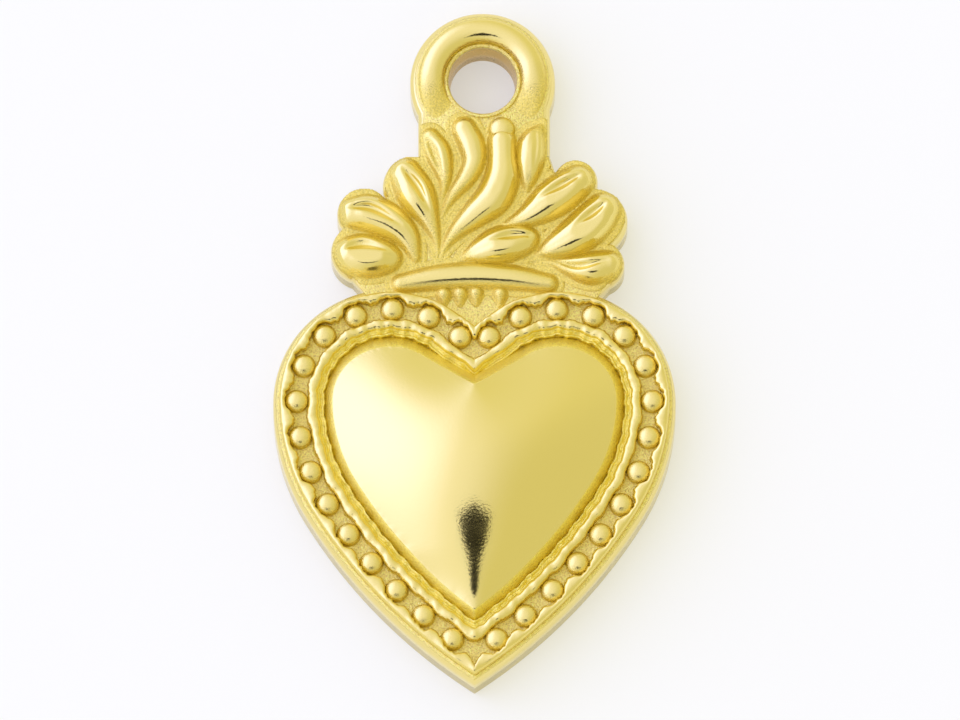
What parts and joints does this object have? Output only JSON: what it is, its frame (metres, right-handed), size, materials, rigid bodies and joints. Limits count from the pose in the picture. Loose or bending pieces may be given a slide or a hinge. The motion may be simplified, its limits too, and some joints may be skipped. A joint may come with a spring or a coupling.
{
  "type": "milagro charm",
  "caption": "Gold-coloured votive heart charm: puffed heart in a beaded border under a crown of flames, with a round loop for hanging.",
  "frame": {"origin": "middle of the charm's outline on the flat back", "axes": "+Z out of the front, +Y from the heart's tip towards the loop, +X to the viewer's right"},
  "size_m": [0.0138, 0.024, 0.0038],
  "materials": {
    "grained_plate": "gold plated, fine sand-cast grain in the recesses, satin edges",
    "polished_relief": "gold plated, polished relief"
  },
  "bodies": {
    "root": {"almond_leaf": "polished_relief", "band_drop_1": "polished_relief", "band_drop_2": "polished_relief", "band_drop_3": "polished_relief", "band_drop_4": "polished_relief", "border_bead_01": "polished_relief", "border_bead_02": "polished_relief", "border_bead_03": "polished_relief", "border_bead_04": "polished_relief", "border_bead_05": "polished_relief", "border_bead_06": "polished_relief", "border_bead_07": "polished_relief", "border_bead_08": "polished_relief", "border_bead_09": "polished_relief", "border_bead_10": "polished_relief", "border_bead_11": "polished_relief", "border_bead_12": "polished_relief", "border_bead_13": "polished_relief", "border_bead_14": "polished_relief", "border_bead_15": "polished_relief", "border_bead_16": "polished_relief", "border_bead_17": "polished_relief", "border_bead_18": "polished_relief", "border_bead_19": "polished_relief", "border_bead_20": "polished_relief", "border_bead_21": "polished_relief", "border_bead_22": "polished_relief", "border_bead_23": "polished_relief", "border_bead_24": "polished_relief", "border_bead_25": "polished_relief", "border_bead_26": "polished_relief", "border_bead_27": "polished_relief", "border_bead_28": "polished_relief", "border_bead_29": "polished_relief", "border_bead_30": "polished_relief", "centre_stem": "polished_relief", "crown_band": "polished_relief", "crown_plate": "grained_plate", "hanging_loop": "grained_plate", "heart_dome": "polished_relief", "heart_plate": "grained_plate", "hooked_tongue": "polished_relief", "inner_cord": "polished_relief", "inner_step": "polished_relief", "left_bud": "polished_relief", "left_high_leaf": "polished_relief", "left_low_leaf": "polished_relief", "left_mid_leaf": "polished_relief", "loop_collar": "polished_relief", "outer_rim": "polished_relief", "right_blade": "polished_relief", "right_high_leaf": "polished_relief", "right_low_leaf": "polished_relief", "right_mid_leaf": "polished_relief", "stem_ball": "polished_relief"}
  },
  "joints": []
}
